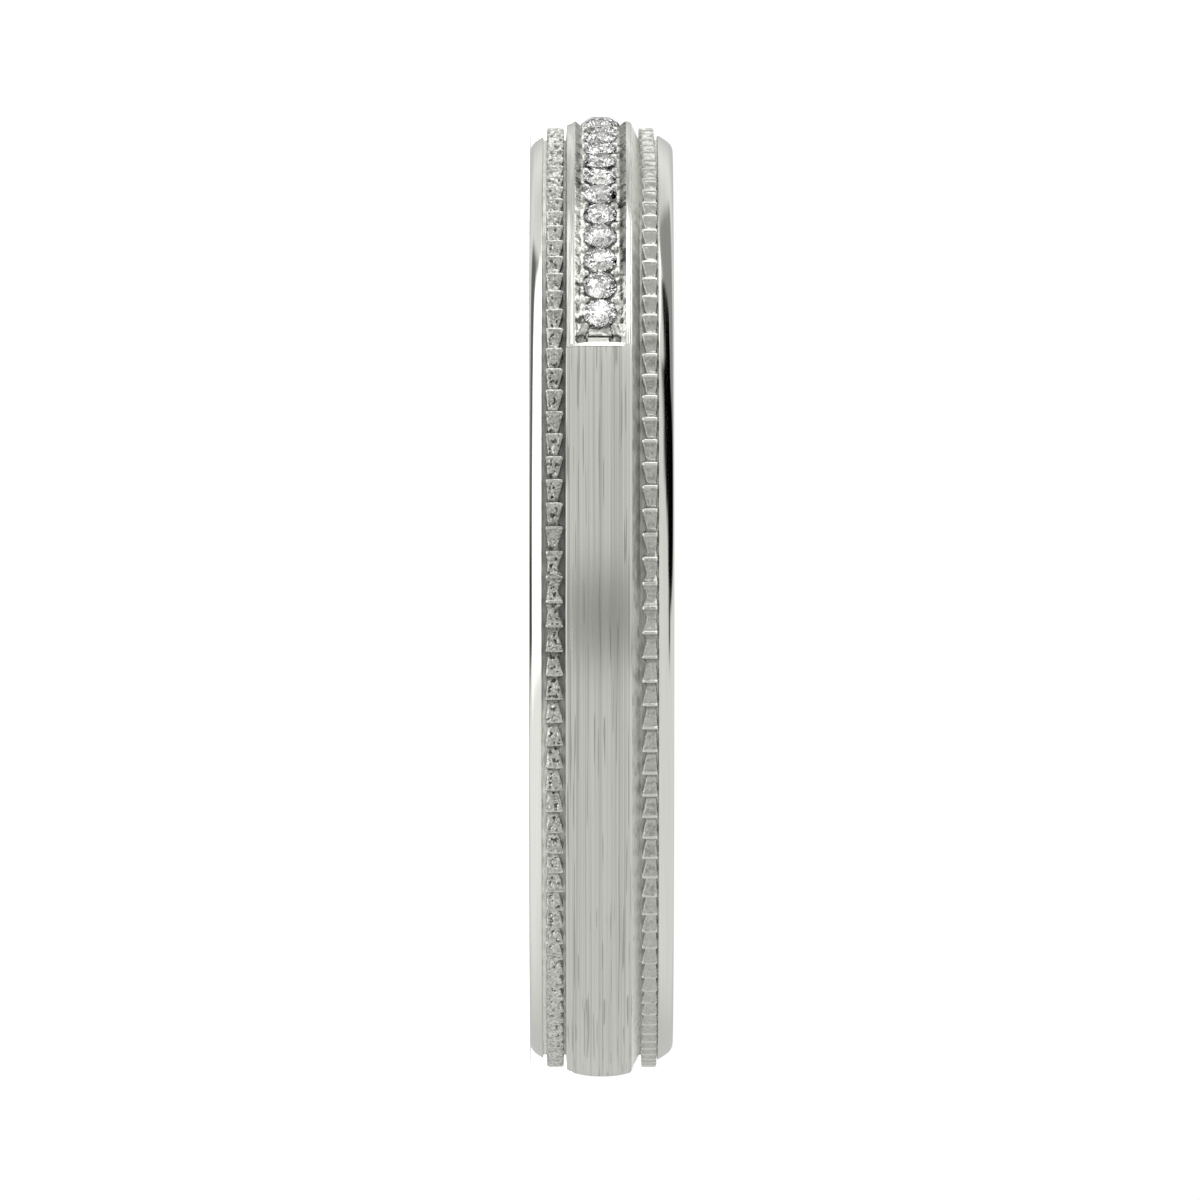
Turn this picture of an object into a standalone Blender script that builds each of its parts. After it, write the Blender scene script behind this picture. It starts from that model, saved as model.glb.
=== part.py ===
"""A moissanite ring: a turned white-gold band with two milgrain rows and a channel of stones.

The ring lies on its side. Its axis is +Z, its lower side rests on z = 0, and the middle of the
line of stones is at -Y. Sizes are in millimetres and become metres where a mesh is made.
Run it with blender --background --python part.py, or from the text editor.
"""

import math
import random
from collections import namedtuple

import bmesh
import bpy
from mathutils import Matrix, Vector

MM = 0.001

# The finger, the band and the line of stones
FINGER_RADIUS = 8.45
BAND_WIDTH = 3.0
BORE_EDGE_RADIUS = 8.72
BORE_FLAT_HALF = 0.95
SIDE_RADIUS = 9.47
SIDE_CORNER_RADIUS = 9.62
SIDE_CORNER_ACROSS = 1.40
BEVEL_RADIUS = 9.75
GROOVE_RADIUS = 9.70
GRAIN_RADIUS = 9.92
GRAIN_VALLEY_RADIUS = 9.80
GUTTER_RADIUS = 9.66
FACE_EDGE_RADIUS = 9.99
FACE_RADIUS = 10.12
GRAINS_IN_A_ROW = 126

# The stones and what holds them
STONE_COUNT = 27
STONE_DIAMETER = 0.71
STONE_PITCH = math.radians(4.19)
STONE_ACROSS = -0.03
GIRDLE_RADIUS = 10.025
GIRDLE_HALF_THICKNESS = 0.01
TABLE_SHARE = 0.57
CROWN_SLOPE = math.radians(34.5)
PAVILION_SLOPE = math.radians(41.0)
LOWER_HALF_SHARE = 0.77
MOST_STONE_TILT = math.radians(4.5)

CHANNEL_END = math.radians(58.6)
CHANNEL_FLOOR_RADIUS = 9.90
SEAT_TOP_RADIUS = 9.93
SEAT_CLEARANCE = 0.02
PRONG_RADIUS = 0.09
PRONG_SPREAD = 0.28
PRONG_FOOT_RADIUS = 9.84
PRONG_SHOULDER_RADIUS = 10.06
PRONG_TOP_RADIUS = 10.09
PIT_RADIUS = 0.12
PIT_TURN = math.radians(57.7)
PIT_ACROSS = (-0.36, 0.28)
PIT_FLOOR_RADIUS = 9.80
PIT_DEPTH = 0.37

HALF_WIDTH = BAND_WIDTH / 2
STONE_RADIUS = STONE_DIAMETER / 2
STATIONS = 2 * GRAINS_IN_A_ROW
STATION_TURN = math.tau / STATIONS

# Each corner of the band's section, down its outer side and back up the bore. A grain corner is
# pressed in at each valley between two grains, and a channel corner all along the channel. The
# stride is how many stations lie from one point of the turned corner to the next.
Corner = namedtuple("Corner", "across radius kind across_in radius_in")
STRIDE = {"bore": 4, "side": 2}
SECTION = (
    Corner(HALF_WIDTH, SIDE_RADIUS, "side", 0, 0),
    Corner(SIDE_CORNER_ACROSS, SIDE_CORNER_RADIUS, "side", 0, 0),
    Corner(1.205, BEVEL_RADIUS, "side", 0, 0),
    Corner(1.18, GROOVE_RADIUS, "edge", 0, 0),
    Corner(1.165, GRAIN_RADIUS, "grain", 1.12, GRAIN_VALLEY_RADIUS),
    Corner(0.84, GRAIN_RADIUS, "grain", 0.91, GRAIN_VALLEY_RADIUS),
    Corner(0.82, GUTTER_RADIUS, "edge", 0, 0),
    Corner(0.69, FACE_EDGE_RADIUS, "edge", 0, 0),
    Corner(0.48, 10.06, "channel", 0.51, 10.04),
    Corner(0.15, FACE_RADIUS, "channel", 0.37, CHANNEL_FLOOR_RADIUS),
    Corner(-0.15, FACE_RADIUS, "channel", -0.405, CHANNEL_FLOOR_RADIUS),
    Corner(-0.48, 10.06, "channel", -0.43, 10.02),
    Corner(-0.725, FACE_EDGE_RADIUS, "edge", 0, 0),
    Corner(-0.755, GUTTER_RADIUS, "edge", 0, 0),
    Corner(-0.79, GRAIN_RADIUS, "grain", -0.86, GRAIN_VALLEY_RADIUS),
    Corner(-1.14, GRAIN_RADIUS, "grain", -1.10, GRAIN_VALLEY_RADIUS),
    Corner(-1.18, GROOVE_RADIUS, "edge", 0, 0),
    Corner(-1.205, BEVEL_RADIUS, "side", 0, 0),
    Corner(-SIDE_CORNER_ACROSS, SIDE_CORNER_RADIUS, "side", 0, 0),
    Corner(-HALF_WIDTH, SIDE_RADIUS, "side", 0, 0),
    Corner(-HALF_WIDTH, BORE_EDGE_RADIUS, "bore", 0, 0),
    Corner(-BORE_FLAT_HALF, FINGER_RADIUS, "bore", 0, 0),
    Corner(BORE_FLAT_HALF, FINGER_RADIUS, "bore", 0, 0),
    Corner(HALF_WIDTH, BORE_EDGE_RADIUS, "bore", 0, 0),
)


def clear_scene():
    for obj in list(bpy.data.objects):
        bpy.data.objects.remove(obj, do_unlink=True)


def new_collection(name):
    collection = bpy.data.collections.new(name)
    bpy.context.scene.collection.children.link(collection)
    return collection


def new_object(name, mesh, collection):
    obj = bpy.data.objects.new(name, mesh)
    collection.objects.link(obj)
    return obj


def material(name, colour, roughness, metallic, transmission=0.0, ior=1.5):
    made = bpy.data.materials.new(name)
    made.use_nodes = True
    shader = made.node_tree.nodes["Principled BSDF"]
    shader.inputs["Base Color"].default_value = (*colour, 1.0)
    shader.inputs["Roughness"].default_value = roughness
    shader.inputs["Metallic"].default_value = metallic
    shader.inputs["Transmission Weight"].default_value = transmission
    shader.inputs["IOR"].default_value = ior
    return made


def mesh_from(bm, name):
    mesh = bpy.data.meshes.new(name)
    bm.to_mesh(mesh)
    bm.free()
    return mesh


def frame_at(turn, across, radius):
    """A frame on the ring whose own +Z points away from the axis; turn 0 is the line's middle."""
    place = Matrix.Translation(Vector((radius, 0, across + HALF_WIDTH)) * MM)
    outward = Matrix.Rotation(math.pi / 2, 4, "Y")
    return Matrix.Rotation(turn - math.pi / 2, 4, "Z") @ place @ outward


# The band

def turned_band(collection):
    """The section turned round the axis, with one station for each crest and each valley."""
    bm = bmesh.new()
    points = [bm.verts.new(Vector((c.radius, 0, c.across + HALF_WIDTH)) * MM) for c in SECTION]
    for point, following in zip(points, points[1:] + points[:1]):
        bm.edges.new((point, following))
    profile = new_object("band_profile", mesh_from(bm, "band_profile"), collection)
    screw = profile.modifiers.new("turn", "SCREW")
    screw.axis = "Z"
    screw.angle = math.tau
    screw.steps = STATIONS
    screw.render_steps = STATIONS
    graph = bpy.context.evaluated_depsgraph_get()
    mesh = bpy.data.meshes.new_from_object(profile.evaluated_get(graph))
    bpy.data.objects.remove(profile, do_unlink=True)
    mesh.name = "band"
    return mesh


def corner_of(point):
    radius = math.hypot(point.x, point.y) / MM
    across = point.z / MM - HALF_WIDTH
    return min(SECTION, key=lambda c: math.hypot(c.radius - radius, c.across - across))


def station_of(point):
    """The station of this point: 0 at the middle of the line of stones, even on a crest."""
    return round(math.atan2(point.x, -point.y) / STATION_TURN)


def is_pressed(corner, station):
    if corner.kind == "grain":
        return station % 2 == 1
    return corner.kind == "channel" and abs(station) * STATION_TURN < CHANNEL_END


def press_grains_and_channel(bm):
    for vert in bm.verts:
        corner = corner_of(vert.co)
        if is_pressed(corner, station_of(vert.co)):
            shrink = corner.radius_in * MM / math.hypot(vert.co.x, vert.co.y)
            height = (corner.across_in + HALF_WIDTH) * MM
            vert.co = Vector((vert.co.x * shrink, vert.co.y * shrink, height))


def thin_out_smooth_corners(bm):
    """The bore and the sides have nothing pressed into them, so they keep fewer stations."""
    points = {(corner_of(v.co), station_of(v.co) % STATIONS): v for v in bm.verts}
    onto = {}
    for (corner, station), vert in points.items():
        kept = station - station % STRIDE.get(corner.kind, 1)
        if kept != station:
            onto[vert] = points[(corner, kept)]
    bmesh.ops.weld_verts(bm, targetmap=onto)


def add_cone(bm, frame, sides, bottom, top, bottom_radius, top_radius):
    """A closed cone or post along the frame's +Z, between two heights in millimetres."""
    return bmesh.ops.create_cone(
        bm,
        cap_ends=True,
        segments=sides,
        radius1=bottom_radius * MM,
        radius2=top_radius * MM,
        depth=(top - bottom) * MM,
        matrix=frame @ Matrix.Translation((0, 0, (bottom + top) / 2 * MM)),
    )["verts"]


def add_seats(bm):
    """A cone under each stone, parallel to its pavilion and a little clear of it."""
    rise = math.tan(PAVILION_SLOPE)
    culet = -GIRDLE_HALF_THICKNESS - STONE_RADIUS * rise
    deepest = culet - SEAT_CLEARANCE / math.cos(PAVILION_SLOPE)
    top = SEAT_TOP_RADIUS - GIRDLE_RADIUS
    mouth = (top - deepest) / rise / math.cos(math.pi / 8)
    for frame in stone_frames():
        flats_outward = Matrix.Rotation(math.pi / 8, 4, "Z")
        add_cone(bm, frame @ flats_outward, 8, deepest, top, 0, mouth)


def add_pits(bm):
    """The drill pits at the corners of the channel's two ends."""
    for end in (-1, 1):
        for across in PIT_ACROSS:
            frame = frame_at(end * PIT_TURN, across, PIT_FLOOR_RADIUS)
            add_cone(bm, frame, 8, 0, PIT_DEPTH, PIT_RADIUS, PIT_RADIUS)


def add_prongs(bm):
    """The small round prongs at both sides of each joint between two stones and at the ends."""
    for joint in range(STONE_COUNT + 1):
        turn = (joint - STONE_COUNT / 2) * STONE_PITCH
        for side in (-1, 1):
            frame = frame_at(turn, STONE_ACROSS + side * PRONG_SPREAD, PRONG_FOOT_RADIUS)
            shoulder = PRONG_SHOULDER_RADIUS - PRONG_FOOT_RADIUS
            post = add_cone(bm, frame, 6, 0, shoulder, PRONG_RADIUS, PRONG_RADIUS)
            faces = {face for vert in post for face in vert.link_faces}
            top = max(faces, key=lambda face: math.hypot(*face.calc_center_median().xy))
            bmesh.ops.inset_region(bm, faces=[top], thickness=PRONG_RADIUS / 2 * MM)
            tip = Vector((0, 0, PRONG_TOP_RADIUS - PRONG_SHOULDER_RADIUS)) * MM
            bmesh.ops.translate(bm, verts=top.verts, vec=frame.to_3x3() @ tip)


def helper_of(name, add_shapes, collection):
    """A helper object for a Boolean, hidden in renders."""
    bm = bmesh.new()
    for add_shape in add_shapes:
        add_shape(bm)
    helper = new_object(name, mesh_from(bm, name), collection)
    helper.hide_render = True
    helper.display_type = "WIRE"
    return helper


def add_boolean(obj, other, operation):
    modifier = obj.modifiers.new(other.name, "BOOLEAN")
    modifier.object = other
    modifier.operation = operation
    modifier.solver = "EXACT"


def make_band(parts, helpers):
    bm = bmesh.new()
    bm.from_mesh(turned_band(helpers))
    thin_out_smooth_corners(bm)
    press_grains_and_channel(bm)
    band = new_object("band", mesh_from(bm, "band"), parts)
    band.data.shade_smooth()
    band.data.set_sharp_from_angle(angle=math.radians(25))
    band.data.materials.append(material("white_gold", (0.79, 0.78, 0.74), 0.22, 1.0))
    add_boolean(band, helper_of("seats_and_pits", (add_seats, add_pits), helpers), "DIFFERENCE")
    add_boolean(band, helper_of("prongs", (add_prongs,), helpers), "UNION")


# The stones

def facet_planes():
    """Each facet as (direction round the stone, slope, a point of its plane), in millimetres."""
    radius, girdle = STONE_RADIUS, GIRDLE_HALF_THICKNESS
    flat = radius * math.cos(math.pi / 16)
    table = TABLE_SHARE * radius
    table_height = girdle + (radius - table) * math.tan(CROWN_SLOPE)
    table_edge = table * math.cos(math.pi / 8)
    star_tip = (table_edge + radius) / 2
    star_height = girdle + (radius - star_tip * math.cos(math.pi / 8)) * math.tan(CROWN_SLOPE)
    star_slope = math.atan2(table_height - star_height, star_tip - table_edge)
    upper_slope = math.atan2(star_height - girdle, flat - star_tip * math.cos(math.pi / 16))
    ridge = (1 - LOWER_HALF_SHARE) * radius
    ridge_depth = (radius - ridge * math.cos(math.pi / 8)) * math.tan(PAVILION_SLOPE)
    lower_slope = math.atan2(ridge_depth, flat - ridge * math.cos(math.pi / 16))
    planes = [(0.0, 0.0, Vector((0, 0, table_height)))]
    for i in range(8):
        main, between = i * math.tau / 8, (i + 0.5) * math.tau / 8
        planes.append((main, CROWN_SLOPE, Vector((radius, 0, girdle))))
        planes.append((between, star_slope, Vector((table_edge, 0, table_height))))
        planes.append((main, math.pi - PAVILION_SLOPE, Vector((radius, 0, -girdle))))
    for i in range(16):
        half = (i + 0.5) * math.tau / 16
        planes.append((half, upper_slope, Vector((flat, 0, girdle))))
        planes.append((half, math.pi - lower_slope, Vector((flat, 0, -girdle))))
    return planes


def cut_stone():
    """A round brilliant: a short rod of 16 sides from which each facet's plane cuts its corner."""
    bm = bmesh.new()
    bmesh.ops.create_cone(
        bm,
        cap_ends=True,
        segments=16,
        radius1=STONE_RADIUS,
        radius2=STONE_RADIUS,
        depth=2 * STONE_DIAMETER,
    )
    for direction, slope, point in facet_planes():
        turn = Matrix.Rotation(direction, 3, "Z")
        cut = bmesh.ops.bisect_plane(
            bm,
            geom=bm.verts[:] + bm.edges[:] + bm.faces[:],
            dist=1e-6,
            plane_co=turn @ point,
            plane_no=turn @ Vector((math.sin(slope), 0, math.cos(slope))),
            clear_outer=True,
        )
        rim = [item for item in cut["geom_cut"] if isinstance(item, bmesh.types.BMEdge)]
        bmesh.ops.contextual_create(bm, geom=rim)
    bmesh.ops.recalc_face_normals(bm, faces=bm.faces)
    bmesh.ops.scale(bm, vec=(MM, MM, MM), verts=bm.verts)
    return mesh_from(bm, "stone")


def stone_frames():
    """Where each stone sits. A setter never turns or tilts two of them quite alike."""
    hand = random.Random(5)
    frames = []
    for i in range(STONE_COUNT):
        turn = (i - (STONE_COUNT - 1) / 2) * STONE_PITCH
        tilt_axis = Matrix.Rotation(hand.uniform(0, math.tau), 3, "Z") @ Vector((1, 0, 0))
        tilt = Matrix.Rotation(hand.uniform(0, MOST_STONE_TILT), 4, tilt_axis)
        spin = Matrix.Rotation(hand.uniform(0, math.tau / 8), 4, "Z")
        frames.append(frame_at(turn, STONE_ACROSS, GIRDLE_RADIUS) @ tilt @ spin)
    return frames


def make_stones(parts):
    mesh = cut_stone()
    mesh.materials.append(material("moissanite", (0.97, 0.98, 1.0), 0.0, 0.0, 1.0, 2.65))
    for i, frame in enumerate(stone_frames()):
        stone = new_object(f"stone_{i + 1:02d}", mesh, parts)
        stone.matrix_world = frame


def main():
    clear_scene()
    parts = new_collection("moissanite_ring")
    helpers = new_collection("helpers")
    make_band(parts, helpers)
    make_stones(parts)


main()
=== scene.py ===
"""Looks of the moissanite ring: a brushed centre band between two milgrain rows, polished bevels
and a line of small brilliants in a channel.

Sizes are in millimetres and become metres where a mesh is made. A place on the ring is given by
its turn (0 at the middle of the line of stones, at -Y, positive towards +X), its place across the
band (0 at the middle of its width, positive upwards) and its radius.
"""

import math
import random

import bpy
import numpy as np
from mathutils import Matrix, Vector, noise


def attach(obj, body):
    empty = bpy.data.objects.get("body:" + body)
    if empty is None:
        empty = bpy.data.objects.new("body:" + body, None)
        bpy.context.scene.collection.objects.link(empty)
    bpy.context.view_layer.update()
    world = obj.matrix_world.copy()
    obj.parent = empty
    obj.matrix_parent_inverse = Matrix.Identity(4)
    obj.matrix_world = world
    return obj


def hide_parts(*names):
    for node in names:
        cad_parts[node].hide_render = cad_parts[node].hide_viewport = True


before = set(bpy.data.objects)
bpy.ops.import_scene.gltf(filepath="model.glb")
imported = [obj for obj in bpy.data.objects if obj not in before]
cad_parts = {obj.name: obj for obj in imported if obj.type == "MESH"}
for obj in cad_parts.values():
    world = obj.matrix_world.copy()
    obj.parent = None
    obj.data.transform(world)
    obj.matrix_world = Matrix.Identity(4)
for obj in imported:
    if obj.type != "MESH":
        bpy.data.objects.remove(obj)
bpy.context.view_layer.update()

MM = 0.001
HALF_WIDTH = 1.5
STONES = sorted(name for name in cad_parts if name.startswith("stone_"))

# The turned band's section
FINGER_RADIUS = 8.45
BORE_EDGE_RADIUS = 8.72
BORE_FLAT_HALF = 0.95
LOWER_BEVEL_TOP = (1.232, 9.735)
UPPER_BEVEL_TOP = (1.185, 9.761)
BEVEL_OUTER_ACROSS = 1.39
BEVEL_TILTS = (math.radians(29), math.radians(37.5))
LOWER_GROOVE = (1.225, 9.69)
UPPER_GROOVE = (1.165, 9.735)
GUTTER_RADIUS = 9.66
CORE_RADIUS = 9.60
FACE_RADIUS = 10.12

# The milgrain
GRAINS_IN_A_ROW = 126
GRAIN_TURN = math.tau / GRAINS_IN_A_ROW
GRAIN_RADIUS = 9.92
GRAIN_VALLEY_RADIUS = 9.77
STATIONS_IN_A_GRAIN = 24
# The painted shade of the milgrain's walls where the ring is painted pale
PALE_GRAIN_WALL = 0.72
CREST_HALF = 0.13
CREST_ASIDE = 0.0048
CREST_THINNING = 0.025

# The crevices' painted shade, in the lower and the upper half of the band: where they are dark,
# where they are painted pale as painted reflection, and the cosine of the turn at which they start
# to be pale
GUTTER_SHADES = (0.26, 0.5)
GROOVE_SHADES = (0.42, 0.9)
PALE_GUTTER_SHADES = (0.8, 0.5)
PALE_GROOVE_SHADES = (1.25, 1.6)
PALE_FROM = (-0.12, 0.1)

# The line of stones and the channel that holds it
STONE_PITCH = math.radians(4.19)
STONE_RADIUS = 0.355
STONE_ACROSS = -0.03
GIRDLE_RADIUS = 10.025
PAVILION_SLOPE = math.radians(41.0)
BAND_STEP_TURN = math.radians(59.2)
CHANNEL_TURN = math.radians(58.85)
CHANNEL_ACROSS = (-0.55, 0.51)
SEAT_ACROSS = (-0.43, 0.36)
BEAD_SPREAD = 0.28
BEAD_TOP_RADIUS = 10.09
BLOCK_TURN = math.radians(57.85)
PIT_TURN = math.radians(58.2)
PIT_ACROSS = (-0.41, 0.28)
PIT_RADIUS = 0.105
LEG_FEET = (-0.44, 0.32)
LEG_HALF = 0.075

# The view: the direction to the camera and the direction that is up in the picture
VIEW_TURN = math.radians(90.4)
TO_CAMERA = Vector((math.sin(VIEW_TURN), -math.cos(VIEW_TURN), 0))
PICTURE_UP = Vector((math.cos(VIEW_TURN), math.sin(VIEW_TURN), 0)) * -1
PICTURE_RIGHT = Vector((0, 0, 1))
CAMERA_DISTANCE = 370.0
FOCAL_LENGTH = 525.2
SENSOR_WIDTH = 36.0
PICTURE_SIDE = 1200
RING_CENTRE_PIXEL = (601.55, 597.5)


# Meshes from grids of points

def ring_points(turns, acrosses, radii):
    """Points in the part's frame from arrays of turn, place across the band and radius."""
    turns, acrosses, radii = np.broadcast_arrays(turns, acrosses, radii)
    height = acrosses + HALF_WIDTH
    return np.stack((radii * np.sin(turns), -radii * np.cos(turns), height), -1) * MM


def grid_faces(stations, rows, open_ends):
    """Quads over a grid whose rows close on themselves, facing out where the rows run downwards."""
    station = np.arange(stations - 1 if open_ends else stations)[:, None]
    row = np.arange(rows)[None, :]
    after, below = (station + 1) % stations, (row + 1) % rows
    here, there = station * rows, after * rows
    corners = (here + row, here + below, there + below, there + row)
    return np.stack([np.broadcast_to(c, (len(station), rows)) for c in corners], -1).reshape(-1, 4)


def new_piece(name, points, sharp_angle, surface, open_ends=False, shade=1.0):
    """A closed mesh over the points, an array of stations by rows, that rides on the body."""
    stations, rows = points.shape[:2]
    faces = grid_faces(stations, rows, open_ends).tolist()
    if open_ends:
        faces.append(list(range(rows))[::-1])
        faces.append(list(range((stations - 1) * rows, stations * rows)))
    mesh = bpy.data.meshes.new(name)
    mesh.from_pydata(points.reshape(-1, 3).tolist(), [], faces)
    mesh.validate()
    # The shade attribute holds per-vertex painted light and shade, which the painted materials read
    shades = np.broadcast_to(shade, points.shape[:2]).astype(np.float32).ravel()
    mesh.attributes.new("shade", "FLOAT", "POINT").data.foreach_set("value", shades)
    mesh.shade_smooth()
    mesh.set_sharp_from_angle(angle=math.radians(sharp_angle))
    mesh.materials.append(surface)
    piece = bpy.data.objects.new(name, mesh)
    bpy.context.scene.collection.objects.link(piece)
    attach(piece, "root")
    return piece


def rounded(corners, steps=8):
    """An outline through (across, radius, rounding) corners, with an arc at each rounded one."""
    outline = []
    for i, (across, radius, rounding) in enumerate(corners):
        here = Vector((across, radius))
        if not rounding:
            outline.append(here)
            continue
        before = (Vector(corners[i - 1][:2]) - here).normalized()
        after = (Vector(corners[(i + 1) % len(corners)][:2]) - here).normalized()
        half = before.angle(after) / 2
        centre = here + (before + after).normalized() * rounding / math.sin(half)
        start = here + before * rounding / math.tan(half) - centre
        swing = math.pi - 2 * half
        if before.x * after.y - before.y * after.x > 0:
            swing = -swing
        for step in range(steps + 1):
            outline.append(centre + Matrix.Rotation(swing * step / steps, 2) @ start)
    return np.array([tuple(point) for point in outline])


def fractal(points, scale, seed, octaves=3):
    """Smooth noise of about -1 to 1 at each point; scale is how many waves go in a millimetre."""
    flat = np.asarray(points).reshape(-1, 3) * scale + seed
    found = [noise.fractal(Vector(p), 0.6, 2.0, octaves) for p in flat.tolist()]
    return np.array(found).reshape(np.asarray(points).shape[:-1])


def smooth_step(low, high, value):
    share = np.clip((value - low) / (high - low), 0, 1)
    return share * share * (3 - 2 * share)


def turn_from_stones(turns):
    """How far a turn is from the middle of the line of stones, either way round."""
    return np.abs((turns + math.pi) % math.tau - math.pi)


def paleness(turns, start):
    """How pale a crevice is painted at this turn, 0 to 1.

    It follows the light and dark that the photograph shows round the ring, which on the real ring
    are mostly reflections. The paint stays on the ring and is the same from every side.
    """
    nearness = np.cos(turns)
    sides = 0.55 * smooth_step(start, start - 0.16, nearness)
    opposite = 0.45 * smooth_step(-0.2, -0.9, nearness)
    return sides + opposite + smooth_step(0.62, 0.95, nearness)


# The turned body of the band, with its bore, sides, bevels and grooves

def bevel_corners(top):
    """The bevel, a little crowned, and the rounded edge that leads from it into the flat side."""
    corners = []
    across, radius = top
    steps = 8
    for step in range(steps):
        tilt = BEVEL_TILTS[0] + (BEVEL_TILTS[1] - BEVEL_TILTS[0]) * (step + 0.5) / steps
        across += (BEVEL_OUTER_ACROSS - top[0]) / steps
        radius -= (BEVEL_OUTER_ACROSS - top[0]) / steps * math.tan(tilt)
        corners.append((across, radius, 0))
    edge = (HALF_WIDTH - BEVEL_OUTER_ACROSS) / (1 - math.sin(BEVEL_TILTS[1]))
    middle = radius - edge * math.cos(BEVEL_TILTS[1])
    for tilt in np.linspace(BEVEL_TILTS[1], math.pi / 2, 14)[1:]:
        across = HALF_WIDTH - edge * (1 - math.sin(tilt))
        corners.append((across, middle + edge * math.cos(tilt), 0))
    return corners


def half_section(groove, top):
    """Half of the body's outline, from its gutter over the bevel to the bore."""
    return [
        (0.9, GUTTER_RADIUS, 0),
        (1.05, GUTTER_RADIUS, 0),
        (groove[0], GUTTER_RADIUS, 0),
        (*groove, 0),
        (*top, 0.012),
        *bevel_corners(top),
        (HALF_WIDTH, BORE_EDGE_RADIUS, 0.09),
        (BORE_FLAT_HALF, FINGER_RADIUS, 0.4),
    ]


def make_band_body(polish, cut):
    lower = half_section(LOWER_GROOVE, LOWER_BEVEL_TOP)
    mirrored = [(-across, radius, rounding) for across, radius, rounding in reversed(lower)]
    outline = rounded(mirrored + half_section(UPPER_GROOVE, UPPER_BEVEL_TOP))[::-1]
    turns = np.linspace(0, math.tau, 720, endpoint=False)[:, None]
    points = ring_points(turns, outline[None, :, 0], outline[None, :, 1])
    # Painted shade in the gutters and grooves: dark where deep, and painted pale round part of the
    # ring as painted reflection, the grooves there brighter than the bare metal
    upper = outline[None, :, 0] > 0
    groove = np.abs(outline[None, :, 0]) > 1.0
    deep = np.where(groove, np.where(upper, GROOVE_SHADES[1], GROOVE_SHADES[0]),
                    np.where(upper, GUTTER_SHADES[1], GUTTER_SHADES[0]))
    pale = np.where(upper, paleness(turns, PALE_FROM[1]), paleness(turns, PALE_FROM[0]))
    full = np.where(groove, np.where(upper, PALE_GROOVE_SHADES[1], PALE_GROOVE_SHADES[0]),
                    np.where(upper, PALE_GUTTER_SHADES[1], PALE_GUTTER_SHADES[0]))
    body = new_piece("band_body", points, 20, polish, shade=deep + (full - deep) * pale)
    body.data.materials.append(cut)
    for face in body.data.polygons:
        across = face.center.z / MM - HALF_WIDTH
        between = -LOWER_GROOVE[0] - 0.005 < across < UPPER_GROOVE[0] + 0.005
        if between and math.hypot(*face.center.xy) / MM > GUTTER_RADIUS - 0.05:
            face.material_index = 1
    return body


# The milgrain rows

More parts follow.
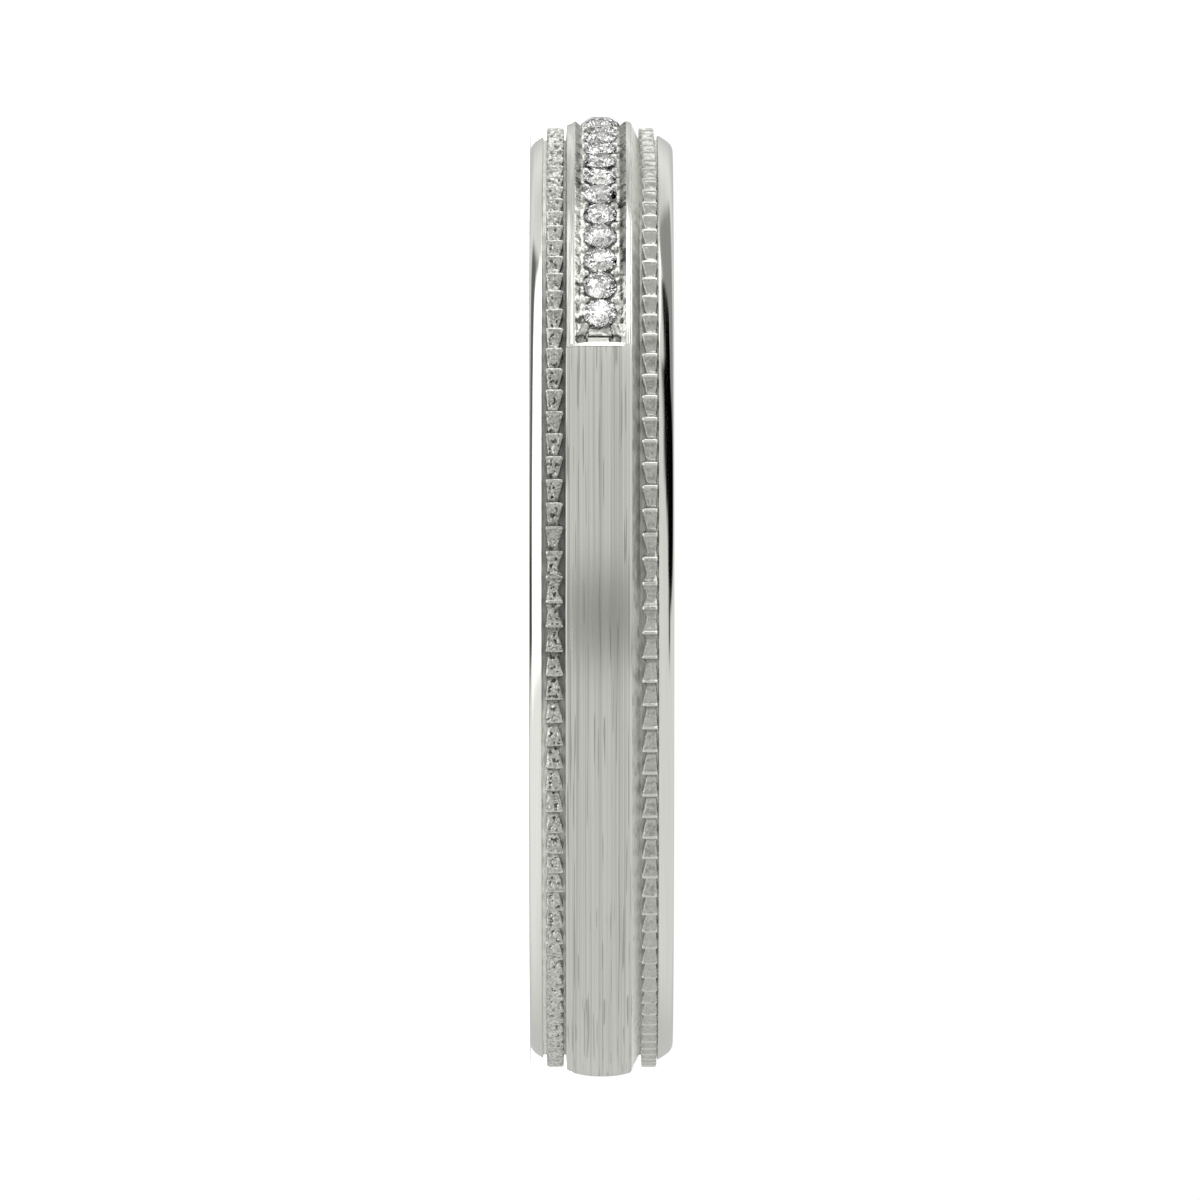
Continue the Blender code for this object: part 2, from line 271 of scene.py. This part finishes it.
def make_milgrain(
    name, crest_edges, valley_edges, shift, sway, roughness, pits, tones, seed, surface
):
    """A row of grains: crests at full width, each with a scooped valley that narrows away from it.

    The tones are painted light and shade: the shade of the valleys, the painted highlight on the
    crests, the painted shade of the walls beside the crests, the painted paleness that the pale
    part of the ring adds, and the painted shade where a valley rises to the next crest.
    """
    stations = GRAINS_IN_A_ROW * STATIONS_IN_A_GRAIN
    turns = np.linspace(0, math.tau, stations, endpoint=False)[:, None]
    aside = sway * smooth_step(math.radians(28), math.radians(5), turn_from_stones(turns))
    lean = np.clip(6 * np.cos(turns), -1, 1)
    after = ((turns - shift + CREST_ASIDE * lean) / GRAIN_TURN) % 1
    phase = 1 - np.abs(1 - 2 * after)
    waist = 0.5 + 0.25 * lean
    bottom = 0.5 + 0.2 * lean
    scoop = np.where(after < waist, after / waist, (1 - after) / (1 - waist))
    scoop = np.clip((scoop - 0.08) / 0.92, 0, 1)
    half = CREST_HALF + CREST_THINNING * (lean - 1)
    crest = 1 - smooth_step(half, half + 0.08, phase)
    fall = np.where(after < bottom, after / bottom, (1 - after) / (1 - bottom))
    wave = ((1 + np.cos(math.pi * fall)) / 2) ** 1.15
    top = GRAIN_VALLEY_RADIUS + (GRAIN_RADIUS - GRAIN_VALLEY_RADIUS) * (0.15 * crest + 0.85 * wave)
    low = crest_edges[0] + (valley_edges[0] - crest_edges[0]) * scoop + aside
    high = crest_edges[1] + (valley_edges[1] - crest_edges[1]) * scoop + aside

    share = np.linspace(0, 1, 17)[None, :]
    across = high + (low - high) * share
    radius = top - 0.018 * (np.abs(2 * share - 1) ** 8)
    place = np.stack(np.broadcast_arrays(turns * 10, across, 0 * across), -1)
    spots = fractal(place, 10, seed + 9, 3)
    inside = 1 - np.abs(2 * share - 1) ** 4
    holes = smooth_step(0.36, 0.46, spots) * inside * (1 - crest) * (pits > 0)
    uneven = roughness * fractal(place, 9, seed) * (1 - 0.7 * crest) * inside
    radius = radius + uneven - pits * holes

    pale = paleness(turns, PALE_FROM[0] if high[0, 0] < 0 else PALE_FROM[1])
    # Painted shade: a dark line beside each crest, on its far side
    beside = smooth_step(half, half + 0.06, phase) * smooth_step(half + 0.2, half + 0.1, phase)
    far = np.where(after < 0.5, 0.5 - 0.5 * lean, 0.5 + 0.5 * lean)
    # Painted highlight on the crests, and painted shade at the row's edges
    tone = tones[0] + (tones[1] - tones[0]) * crest - 0.3 * np.abs(2 * share - 1) ** 6
    # Painted shade where a valley rises to the next crest
    rise = smooth_step(0.62, 0.8, np.where(lean > 0, after, 1 - after))
    behind = rise * (1 - crest) * np.abs(lean)
    tone = tone * (1 - tones[4] * behind) * (1 - 0.6 * beside * far)
    # Painted shade in the pits, and painted paleness where the ring is painted pale
    tone = tone * (1 - 0.75 * holes) * (1 + tones[3] * pale)
    # Painted shade, darker towards the middle of the line of stones
    tone = tone * (1 - 0.25 * smooth_step(0.75, 0.95, np.cos(turns)))
    # Painted shade on the walls beside the crests, paler where the ring is painted pale
    wall = tones[2] + (0.5 - tones[2]) * (1 - crest)
    wall = wall + (PALE_GRAIN_WALL - wall) * pale

    floor = np.full((stations, 1), CORE_RADIUS)
    foot = np.full((stations, 1), GUTTER_RADIUS - 0.01)
    spread = 0.01
    acrosses = np.concatenate(
        (high + spread, high + spread / 2, across, low - spread / 2, low - spread), 1
    )
    radii = np.concatenate((floor, foot + 0.06, radius, foot + 0.06, floor), 1)
    shade = np.concatenate((wall, wall, tone, wall, wall), 1)
    return new_piece(name, ring_points(turns, acrosses, radii), 32, surface, shade=shade)


# The centre band, with its brushed face and the two rails beside the channel

# The face's outline as the CAD has it; here its upper edge stops at the first of FACE_EDGES
FACE_CORNERS = (
    (0.69, 9.99), (0.48, 10.06), (0.15, 10.12), (-0.15, 10.12), (-0.48, 10.06), (-0.725, 9.99)
)
FACE_EDGES = (0.63, -0.72)
UPPER_WALL = (0.80, 0.76, 0.638)
LOWER_WALL = (-0.735, -0.75, -0.755)
STEP_DEPTH = 0.03
# The painted shade of the line just past each cut step
STEP_LINE_SHADE = 0.3


def face_radius(across):
    """The brushed face's height: a low dome through its corners, made smooth."""
    known = sorted(FACE_CORNERS)
    straight = np.interp(across, [c[0] for c in known], [c[1] for c in known])
    dome = FACE_RADIUS - 0.245 * np.abs(across) ** 2.2
    return np.where(np.abs(across) > 0.6, np.minimum(straight, dome), dome)


def step_end(across):
    """Where the cut step at a channel's end stops; it looks straight although the face is domed."""
    return BAND_STEP_TURN + math.radians(0.3) * (1 - np.clip(np.abs(across) / 0.7, 0, 1) ** 2)


def make_centre_band(brushed, polish, cut):
    fine = np.radians([58.84, 58.86, 58.9, *np.arange(59.0, 59.8, 0.05)])
    rest = np.radians(np.linspace(60, 300, 321))
    rails = np.radians(np.linspace(-58.5, 58.5, 352))
    turns = np.concatenate((rails, fine, rest, math.tau - fine))
    turns = np.unique(np.round(turns, 9))
    near = turn_from_stones(turns)[:, None]

    low, high = CHANNEL_ACROSS
    acrosses = np.concatenate((
        UPPER_WALL, np.linspace(FACE_EDGES[0], high, 8), (high - 0.004, high - 0.02),
        np.linspace(high - 0.06, low + 0.04, 22), (low + 0.012, low + 0.004),
        np.linspace(low, FACE_EDGES[1], 8), LOWER_WALL,
    ))[None, :]
    face = face_radius(np.clip(acrosses, -0.725, 0.69))
    end = step_end(acrosses)
    step = np.clip((end - near) / (end - CHANNEL_TURN), 0, 1)
    cut_side = smooth_step(0.47, 0.44, acrosses)
    face = face - STEP_DEPTH * step * cut_side * (near > CHANNEL_TURN - 0.001)
    in_channel = (near < CHANNEL_TURN) & (acrosses < high - 0.002) & (acrosses > low + 0.002)
    face = np.where(in_channel, GRAIN_VALLEY_RADIUS, face)
    foot, bend = GUTTER_RADIUS - 0.01, GUTTER_RADIUS + 0.05
    wall_radii = {0: foot, 1: bend, 2: 9.97, -3: 9.95, -2: bend, -1: foot}
    for column, radius in wall_radii.items():
        face[:, column] = radius
    underside = np.full((len(turns), 1), CORE_RADIUS)
    acrosses = np.broadcast_to(acrosses, face.shape)
    acrosses = np.concatenate((acrosses[:, :1], acrosses, acrosses[:, -1:]), 1)
    radii = np.concatenate((underside, face, underside), 1)
    # Painted shade on the side walls, darker towards the gutter and painted paler round part of the
    # ring
    wall = np.clip((radii - GUTTER_RADIUS) / (9.99 - GUTTER_RADIUS), 0, 1) * 0.3 + 0.62
    shade = 0.95 * (wall + (1.3 - wall) * paleness(turns[:, None], PALE_FROM[1]))
    # On the face: a painted shade line just past each cut step, and painted shade along its lower
    # edge
    on_face = (acrosses < 0.635) & (acrosses > -0.73)
    past = near - step_end(acrosses)
    in_line = (past > math.radians(0.02)) * (past < math.radians(0.17)) * (acrosses < 0.45)
    line = STEP_LINE_SHADE * in_line
    shade = np.where(on_face, 1 - line - 0.04 * smooth_step(-0.64, -0.70, acrosses), shade)
    points = ring_points(turns[:, None], acrosses, radii)
    band = new_piece("centre_band", points, 28, brushed, shade=shade)
    band.data.materials.append(polish)
    band.data.materials.append(cut)
    for face in band.data.polygons:
        middle = face.center
        across = middle.z / MM - HALF_WIDTH
        # The bright cut stops a tenth of a grain earlier on the rail beyond the channel
        bright_end = step_end(across) - 0.1 * (across > 0.45) * GRAIN_TURN
        if across > 0.632 or across < -0.73:
            face.material_index = 2
        elif abs(math.atan2(middle.x, -middle.y)) < bright_end:
            face.material_index = 1
    return band


# The metal round the stones: seats, beads, the cut floor and the work at the channel's ends

def stone_turns():
    middle = (len(STONES) - 1) / 2
    return [(i - middle) * STONE_PITCH for i in range(len(STONES))]


def make_setting(surface):
    low, high = CHANNEL_ACROSS
    turns = np.linspace(-CHANNEL_TURN, CHANNEL_TURN, 1381)[:, None]
    across = np.linspace(high + 0.01, low - 0.01, 56)[None, :]
    turned, crossed = np.broadcast_arrays(turns * GIRDLE_RADIUS, across)
    spread = np.stack((turned, crossed, 0 * crossed), -1)

    uneven = fractal(spread, 5, 3)
    height = 9.955 + 0.014 * uneven
    wall_right = smooth_step(SEAT_ACROSS[1], high - 0.01, crossed) * 0.085
    wall_left = np.clip((SEAT_ACROSS[0] - crossed) / (SEAT_ACROSS[0] - low), 0, 1) * 0.09
    ripple = 1 + 0.4 * fractal(spread * (1, 0.4, 1), 4, 17)
    height = height + wall_right * ripple + wall_left * ripple
    shade = 1 - 0.75 * smooth_step(0.25, 0.5, fractal(spread, 3.3, 31))
    # Painted shade on the channel's inner walls over stretches of the line, standing for dark
    # reflections
    from_middle = np.abs(turns)
    on_left = smooth_step(SEAT_ACROSS[0] + 0.03, SEAT_ACROSS[0] - 0.03, crossed)
    on_right = smooth_step(SEAT_ACROSS[1] - 0.01, SEAT_ACROSS[1] + 0.03, crossed)
    dark_left = smooth_step(math.radians(38), math.radians(28), from_middle)
    dark_right = smooth_step(math.radians(51), math.radians(47), from_middle)
    shade = shade * (1 - 0.5 * on_left * dark_left)
    shade = shade * (1 - 0.6 * on_right * dark_right)

    for turn in stone_turns():
        away = np.hypot(turned - turn * GIRDLE_RADIUS, crossed - STONE_ACROSS)
        seat = GIRDLE_RADIUS - 0.03 - (STONE_RADIUS - away) * math.tan(PAVILION_SLOPE) - 0.012
        seat = np.where(away > STONE_RADIUS + 0.02, height, seat)
        height = np.minimum(height, seat)

    hand = random.Random(11)
    for joint in range(len(STONES) + 1):
        turn = (joint - len(STONES) / 2) * STONE_PITCH
        for side in (-1, 1):
            bead = 0.1 + hand.uniform(-0.012, 0.012)
            place = turn * GIRDLE_RADIUS + hand.uniform(-0.015, 0.015)
            offset = STONE_ACROSS + side * (BEAD_SPREAD + 0.02) + hand.uniform(-0.012, 0.012)
            away = np.hypot(turned - place, crossed - offset)
            dome = BEAD_TOP_RADIUS - hand.uniform(0, 0.02) - bead
            dome = dome + np.sqrt(np.clip(bead**2 - away**2, 0, 1))
            height = np.where(away < bead, np.maximum(height, dome - 0.02), height)

    past = np.abs(turned)
    last = len(STONES) / 2 * STONE_PITCH * GIRDLE_RADIUS
    block_end = BLOCK_TURN * GIRDLE_RADIUS
    pit_place = PIT_TURN * GIRDLE_RADIUS
    # Beside the last stones the metal is raised and painted slightly pale as painted light
    beside = (past > last - 0.12) & ((crossed < -0.37) | (crossed > 0.30))
    height = np.where(beside, np.maximum(height, 10.0 + 0.01 * uneven), height)
    shade = np.where(beside, 1.05, shade)
    # The block at the channel's end is painted darker and mottled
    in_block = (past > last - 0.02) & (past < block_end - 0.02)
    block = in_block & (np.abs(crossed - STONE_ACROSS) < 0.24)
    height = np.where(block, 9.985 + 0.02 * uneven, height)
    shade = np.where(block, 0.72 + 0.25 * uneven, shade)
    # A painted shade line along the block's end
    edge = smooth_step(0.035, 0.01, np.abs(past - block_end + 0.02))
    shade = shade * (1 - 0.85 * edge * (np.abs(crossed - STONE_ACROSS) < 0.26))
    # Beyond the block the metal is painted pale, as painted light like the bright cut
    shade = np.where(past > block_end, 1.1, shade)
    height = np.where(past > block_end, 9.99, height)
    # Each leg is painted mid grey with a painted shade outline, and each pit gets painted shade,
    # darkest towards its rim
    for offset, foot in zip(PIT_ACROSS, LEG_FEET):
        start = np.array((last - 0.07, STONE_ACROSS + math.copysign(0.29, offset)))
        leg = np.array((block_end + 0.02, foot)) - start
        share = ((past - start[0]) * leg[0] + (crossed - start[1]) * leg[1]) / (leg @ leg)
        share = np.clip(share, 0, 1)
        away = np.hypot(past - start[0] - share * leg[0], crossed - start[1] - share * leg[1])
        height = np.where(away < LEG_HALF, 10.03 - away**2 * 5, height)
        beside_leg = np.where(away < LEG_HALF + 0.02, 0.3, shade)
        shade = np.where(away < LEG_HALF, 0.62 + 0.3 * uneven, beside_leg)
        away = np.hypot(past - pit_place, (crossed - offset) / 1.3)
        height = height - 0.06 * smooth_step(PIT_RADIUS + 0.01, PIT_RADIUS - 0.05, away)
        inside = smooth_step(PIT_RADIUS + 0.012, PIT_RADIUS - 0.01, away)
        rim = smooth_step(PIT_RADIUS - 0.045, PIT_RADIUS - 0.02, away)
        shade = shade * (1 - inside) + inside * (0.5 - 0.33 * rim)

    underside = np.full((len(turns), 1), CORE_RADIUS)
    acrosses = np.concatenate((crossed[:, :1], crossed, crossed[:, -1:]), 1)
    radii = np.concatenate((underside, height, underside), 1)
    shade = np.concatenate((shade[:, :1], shade, shade[:, -1:]), 1)
    points = ring_points(turns, acrosses, radii)
    return new_piece("stone_setting", points, 40, surface, open_ends=True, shade=shade)


# Materials

class Graph:
    """Adds nodes to a material's or the world's node tree."""

    def __init__(self, tree):
        self.tree = tree

    def add(self, kind, inputs=None, **settings):
        node = self.tree.nodes.new(kind)
        for name, value in settings.items():
            setattr(node, name, value)
        for name, value in (inputs or {}).items():
            if isinstance(value, bpy.types.NodeSocket):
                self.tree.links.new(value, node.inputs[name])
            else:
                node.inputs[name].default_value = value
        return node

    def maths(self, operation, first, second=0.0, third=0.0):
        node = self.add("ShaderNodeMath", {0: first, 1: second, 2: third}, operation=operation)
        return node.outputs[0]

    def between(self, value, low, high, to_low=0.0, to_high=1.0, smooth=True):
        inputs = {
            "Value": value, "From Min": low, "From Max": high, "To Min": to_low, "To Max": to_high
        }
        kind = "SMOOTHSTEP" if smooth else "LINEAR"
        return self.add("ShaderNodeMapRange", inputs, interpolation_type=kind).outputs["Result"]

    def stretched_noise(self, across, along, detail=2.0, seed=0.0):
        """Noise with waves of these lengths, in millimetres, across the band and round the ring."""
        place = self.add("ShaderNodeTexCoord").outputs["Object"]
        scale = (1 / (along * MM), 1 / (along * MM), 1 / (across * MM))
        moved = self.vector("MULTIPLY_ADD", {0: place, 1: scale, 2: (seed, seed, seed)})
        inputs = {"Vector": moved, "Scale": 1.0, "Detail": detail, "Roughness": 0.6}
        return self.add("ShaderNodeTexNoise", inputs).outputs["Fac"]

    def vector(self, operation, inputs):
        return self.add("ShaderNodeVectorMath", inputs, operation=operation).outputs[0]

    def bump(self, height, depth, before=None):
        inputs = {"Height": height, "Distance": depth * MM, "Strength": 1.0}
        if before:
            inputs["Normal"] = before
        return self.add("ShaderNodeBump", inputs).outputs["Normal"]


METAL_TINT = (0.90, 0.905, 0.865)
LIGHTEST_TINT = 1.1
# How far the brushed face's normals are drawn to straight outwards
EVENNESS = 2.5
# How clear each kind of stone looks, the darker kinds being painted shade, and how its facets lean
GEM_LOOKS = (
    (0.99, (0.05, -0.04, 0.06)),
    (0.86, (-0.07, 0.05, -0.10)),
    (0.98, (-0.04, -0.06, -0.02)),
    (0.83, (0.08, 0.06, 0.09)),
    (0.99, (0.02, 0.07, -0.08)),
    (0.85, (0.06, -0.08, -0.05)),
)


def metal(name, roughness, anisotropy=0.0):
    """A Principled metal in the alloy's colour, and its graph and shader for more nodes."""
    made = bpy.data.materials.new(name)
    made.use_nodes = True
    shader = made.node_tree.nodes["Principled BSDF"]
    shader.inputs["Base Color"].default_value = (*METAL_TINT, 1)
    shader.inputs["Metallic"].default_value = 1.0
    shader.inputs["Roughness"].default_value = roughness
    shader.inputs["Anisotropic"].default_value = anisotropy
    return made, Graph(made.node_tree), shader


def shaded_tint(graph, amount, low, high, painted=False):
    """The alloy's colour, darker where amount is low and lighter where it is high, and when painted
    also times the painted light and shade stored on the mesh.
    """
    value = graph.between(amount, 0.3, 0.7, low, high, smooth=False)
    if painted:
        shade = graph.add("ShaderNodeAttribute", attribute_name="shade").outputs["Fac"]
        value = graph.maths("MINIMUM", graph.maths("MULTIPLY", value, shade), LIGHTEST_TINT)
    return graph.vector("SCALE", {0: METAL_TINT, "Scale": value})


def polished_metal():
    made, graph, shader = metal("polished_white_gold", 0.07)
    lines = graph.stretched_noise(0.03, 3.0)
    waves = graph.stretched_noise(0.5, 1.5, 1.0, 7)
    links = graph.tree.links
    links.new(graph.between(lines, 0.3, 0.7, 0.05, 0.11), shader.inputs["Roughness"])
    ripple = graph.bump(waves, 0.004)
    links.new(graph.bump(lines, 0.0006, ripple), shader.inputs["Normal"])
    links.new(shaded_tint(graph, lines, 0.96, 1.03), shader.inputs["Base Color"])
    return made


def brushed_metal():
    made, graph, shader = metal("brushed_white_gold", 0.28, anisotropy=0.6)
    place = graph.add("ShaderNodeTexCoord").outputs["Object"]
    outward = graph.vector("MULTIPLY", {0: place, 1: (1, 1, 0)})
    outward = graph.vector("NORMALIZE", {0: outward})
    outward = graph.vector("SCALE", {0: outward, "Scale": EVENNESS})
    normal = graph.add("ShaderNodeNewGeometry").outputs["Normal"]
    evened = graph.vector("ADD", {0: normal, 1: outward})
    evened = graph.vector("NORMALIZE", {0: evened})
    shader.inputs["Anisotropic Rotation"].default_value = 0.25
    links = graph.tree.links
    around = graph.add("ShaderNodeTangent", direction_type="RADIAL", axis="Z").outputs[0]
    links.new(around, shader.inputs["Tangent"])
    fine = graph.stretched_noise(0.024, 16.0, 3.0)
    broad = graph.stretched_noise(0.11, 25.0, 2.0, 5)
    both = graph.maths("MULTIPLY_ADD", broad, 0.27, graph.maths("MULTIPLY", fine, 0.73))
    scratches = graph.between(graph.stretched_noise(0.04, 2.0, 0.0, 9), 0.66, 0.74)
    both = graph.maths("MULTIPLY_ADD", scratches, -0.25, both)
    # The streaks are the brushing's own tone; the painted shade stored on the mesh is multiplied in
    links.new(shaded_tint(graph, both, 0.67, 1.46, painted=True), shader.inputs["Base Color"])
    links.new(graph.between(fine, 0.3, 0.7, 0.34, 0.24), shader.inputs["Roughness"])
    links.new(graph.bump(fine, 0.0016, evened), shader.inputs["Normal"])
    return made


def grainy_metal(name, grain, depth, dark, light=1.1):
    """Cut metal that the milgrain wheel and the graver leave rough."""
    made, graph, shader = metal(name, 0.3)
    rough = graph.stretched_noise(grain, grain, 3.0)
    links = graph.tree.links
    # Its colour also carries the painted light and shade stored on the mesh
    links.new(shaded_tint(graph, rough, dark, light, painted=True), shader.inputs["Base Color"])
    links.new(graph.between(rough, 0.3, 0.7, 0.4, 0.22), shader.inputs["Roughness"])
    links.new(graph.bump(rough, depth), shader.inputs["Normal"])
    return made


def rail_metal():
    """The graver's polished cuts along the channel, with fine lines along them."""
    made, graph, shader = metal("bright_cut_white_gold", 0.12)
    lines = graph.stretched_noise(0.03, 0.9, 2.0, 3)
    links = graph.tree.links
    links.new(shaded_tint(graph, lines, 0.8, 1.1), shader.inputs["Base Color"])
    links.new(graph.bump(lines, 0.006), shader.inputs["Normal"])
    return made


def gutter_metal():
    """The tool-cut bottom of the gutters: dull, and darkened by the painted shade it reads from the
    mesh.
    """
    made, graph, shader = metal("gutter_white_gold", 0.45)
    shader.inputs["Metallic"].default_value = 0.75
    rough = graph.stretched_noise(0.05, 0.3, 3.0, 4)
    links = graph.tree.links
    links.new(shaded_tint(graph, rough, 0.7, 1.3, painted=True), shader.inputs["Base Color"])
    links.new(graph.bump(rough, 0.006), shader.inputs["Normal"])
    return made


def moissanite(number, clearness_and_shade, lean):
    """A clear gem whose facets act as if it sat leaning, so that not all stones sparkle alike."""
    made = bpy.data.materials.new(f"moissanite_clear_{number}")
    made.use_nodes = True
    shader = made.node_tree.nodes["Principled BSDF"]
    # The darker base colours of some kinds are painted shade, so that stones look unevenly lit
    shader.inputs["Base Color"].default_value = (clearness_and_shade, clearness_and_shade, clearness_and_shade + 0.01, 1)
    shader.inputs["Roughness"].default_value = 0.0
    shader.inputs["IOR"].default_value = 2.65
    shader.inputs["Transmission Weight"].default_value = 1.0
    graph = Graph(made.node_tree)
    facet = graph.add("ShaderNodeNewGeometry").outputs
    side = graph.maths("MULTIPLY_ADD", facet["Backfacing"], -2.0, 1.0)
    leant = graph.vector("SCALE", {0: lean, "Scale": side})
    normal = graph.vector("ADD", {0: facet["Normal"], 1: leant})
    normal = graph.vector("NORMALIZE", {0: normal})
    graph.tree.links.new(normal, shader.inputs["Normal"])
    return made


# The studio

# Each card of the light tent: how bright it is, and its edges. An edge is a direction as (towards
# the camera, up in the picture, right in the picture) with where the card starts and where it is
# full, measured along that direction.
BASE_LIGHT = 0.55
CARDS = (
    (0.70, (((0, 0, 1), 0.25, 0.60),)),
    (0.86, (((0, 0, -1), 0.20, 0.90),)),
    (0.80, (((0, 1, 0), 0.10, 0.50), ((-1, 0, 0), 0.55, 0.85))),
    (1.70, (((0, 1, 0), 0.69, 0.75), ((1, 0, 0), -0.38, -0.26), ((-1, 0, 0), -0.38, -0.22),
            ((0, 0, 1), -0.55, 0.0))),
    (0.28, (((-0.6, 0, 0.8), 0.645, 0.685), ((0, 1, 0), 0.01, 0.08), ((0, 0, 1), 0.46, 0.54),
            ((1, 0, 0), -0.80, -0.66))),
    (0.00, (((1, 0, 0), -0.27, -0.225), ((0, 1, 0), 0.30, 0.38), ((-0.52, -1, 0), -0.66, -0.61),
            ((-0.846, -0.532, 0), -0.47, -0.39), ((0, 0, 1), 0.60, 0.68))),
    (0.00, (((0.72, -1, 0), -0.62, -0.54), ((0.11, 1, 0), -0.06, -0.005),
            ((-1, 0.1, 0), -0.30, -0.215), ((-0.846, -0.532, 0), -0.47, -0.39),
            ((0, 0, 1), 0.45, 0.55), ((1, 0, 0), -0.68, -0.56))),
    (0.07, (((1, 0, 0), 0.0, 0.06), ((-1, 0, 0), -0.26, -0.20), ((0, 1, 0), -0.22, -0.08),
            ((0, -1, 0), -0.05, 0.0), ((0, 0, 1), 0.6, 0.7))),
    (1.40, (((1, 0.22, 0), -0.20, -0.13), ((0, 0, -1), 0.52, 0.60), ((0, 1, 0), -0.30, -0.16))),
    (0.13, (((-1, -0.22, 0), 0.14, 0.21), ((0, 1, 0), -0.115, -0.07), ((0, 0, -1), 0.60, 0.66),
            ((1, 0, 0), -0.95, -0.60))),
    (0.03, (((-1, -0.22, 0), 0.20, 0.34), ((0, 1, 0), -0.10, -0.065), ((0, -1, 0), -0.13, -0.03),
            ((1, 0, 0), -0.68, -0.58), ((0, 0, -1), 0.70, 0.78))),
    (0.15, (((0, 1, 0), -0.36, -0.14), ((0, -1, 0), -0.22, 0.0), ((1, 0, 0), 0.55, 0.70),
            ((0, 0, 1), -0.38, -0.04), ((0, 0, -1), -0.38, -0.04))),
)
TENT_COLOUR = (0.995, 1.0, 0.972)
SPARKLE = (0.1, 2.3)
BACKDROP_LIGHT = 1.02
FLOOR_LIGHT = 2.2


def light_tent():
    world = bpy.data.worlds.new("light_tent")
    bpy.context.scene.world = world
    world.use_nodes = True
    graph = Graph(world.node_tree)
    sight = graph.add("ShaderNodeTexCoord").outputs["Generated"]
    light = BASE_LIGHT
    for brightness, edges in CARDS:
        share = 1.0
        for (camera, up, right), start, full in edges:
            axis = TO_CAMERA * camera + PICTURE_UP * up + PICTURE_RIGHT * right
            along = graph.add("ShaderNodeVectorMath", {0: sight, 1: axis}, operation="DOT_PRODUCT")
            inside = graph.between(along.outputs["Value"], start, full)
            share = graph.maths("MULTIPLY", inside, share)
        change = graph.maths("SUBTRACT", brightness, light)
        light = graph.maths("MULTIPLY_ADD", change, share, light)
    inputs = {"Vector": sight, "Scale": 2.4, "Detail": 1.0}
    patches = graph.add("ShaderNodeTexNoise", inputs).outputs["Fac"]
    sparkle = graph.between(patches, 0.42, 0.6, *SPARKLE)
    ray = graph.add("ShaderNodeLightPath").outputs
    light = graph.vector("SCALE", {0: TENT_COLOUR, "Scale": light})
    for seen_by, other in (
        ("Is Transmission Ray", sparkle),
        ("Is Diffuse Ray", FLOOR_LIGHT),
        ("Is Camera Ray", BACKDROP_LIGHT),
    ):
        mix = graph.add("ShaderNodeMix", data_type="VECTOR")
        graph.tree.links.new(ray[seen_by], mix.inputs["Factor"])
        graph.tree.links.new(light, mix.inputs["A"])
        if isinstance(other, float):
            mix.inputs["B"].default_value = (other,) * 3
        else:
            graph.tree.links.new(other, mix.inputs["B"])
        light = mix.outputs["Result"]
    background = world.node_tree.nodes["Background"]
    world.node_tree.links.new(light, background.inputs["Color"])
    background.inputs["Strength"].default_value = 1.0


def make_floor():
    side = 600 * MM
    mesh = bpy.data.meshes.new("floor")
    corners = [(-side, -side, 0), (side, -side, 0), (side, side, 0), (-side, side, 0)]
    mesh.from_pydata(corners, [], [(0, 1, 2, 3)])
    floor = bpy.data.objects.new("floor", mesh)
    bpy.context.scene.collection.objects.link(floor)
    paint = bpy.data.materials.new("floor_white")
    paint.use_nodes = True
    shader = paint.node_tree.nodes["Principled BSDF"]
    shader.inputs["Base Color"].default_value = (0.86, 0.86, 0.86, 1)
    shader.inputs["Roughness"].default_value = 0.9
    shader.inputs["Specular IOR Level"].default_value = 0.0
    mesh.materials.append(paint)
    floor.visible_glossy = False
    floor.visible_transmission = False


def make_camera():
    data = bpy.data.cameras.new("camera")
    data.sensor_width = SENSOR_WIDTH
    data.lens = FOCAL_LENGTH
    data.clip_start = 0.01
    data.clip_end = 10
    camera = bpy.data.objects.new("camera", data)
    bpy.context.scene.collection.objects.link(camera)
    pixels_per_mm = FOCAL_LENGTH / SENSOR_WIDTH * PICTURE_SIDE / CAMERA_DISTANCE
    aside = (PICTURE_SIDE / 2 - RING_CENTRE_PIXEL[0]) / pixels_per_mm
    above = (RING_CENTRE_PIXEL[1] - PICTURE_SIDE / 2) / pixels_per_mm
    offset = PICTURE_RIGHT * aside + PICTURE_UP * above
    place = (TO_CAMERA * CAMERA_DISTANCE + offset + Vector((0, 0, HALF_WIDTH))) * MM
    axes = Matrix((PICTURE_RIGHT, PICTURE_UP, TO_CAMERA)).transposed()
    camera.matrix_world = Matrix.Translation(place) @ axes.to_4x4()
    bpy.context.scene.camera = camera


def main():
    polish = polished_metal()
    gutter = gutter_metal()
    cut = grainy_metal("cut_white_gold", 0.06, 0.004, 0.85)
    fine_grain = grainy_metal("milgrain_white_gold", 0.05, 0.003, 0.85)
    rough_grain = grainy_metal("rough_milgrain_white_gold", 0.045, 0.008, 0.45, 1.3)
    pieces = [
        make_band_body(polish, gutter),
        make_centre_band(brushed_metal(), rail_metal(), gutter),
        make_milgrain("milgrain_upper", (0.84, 1.15), (0.93, 1.125), 0.0036, -0.06, 0.012, 0,
                      (0.81, 1.3, 0.45, 0.08, 0.08), 1, fine_grain),
        make_milgrain("milgrain_lower", (-1.148, -0.797), (-1.105, -0.90), -0.0096, 0.0, 0.022,
                      0.03, (0.9, 1.05, 0.1, 0.18, 0.25), 40, rough_grain),
        make_setting(cut),
    ]
    for piece in pieces:
        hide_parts("band")
    gems = [moissanite(number, *look) for number, look in enumerate(GEM_LOOKS, 1)]
    for i, name in enumerate(STONES):
        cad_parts[name].material_slots[0].material = gems[i % len(gems)]
    light_tent()
    make_floor()
    make_camera()
    bpy.context.scene.view_settings.view_transform = "Standard"


main()
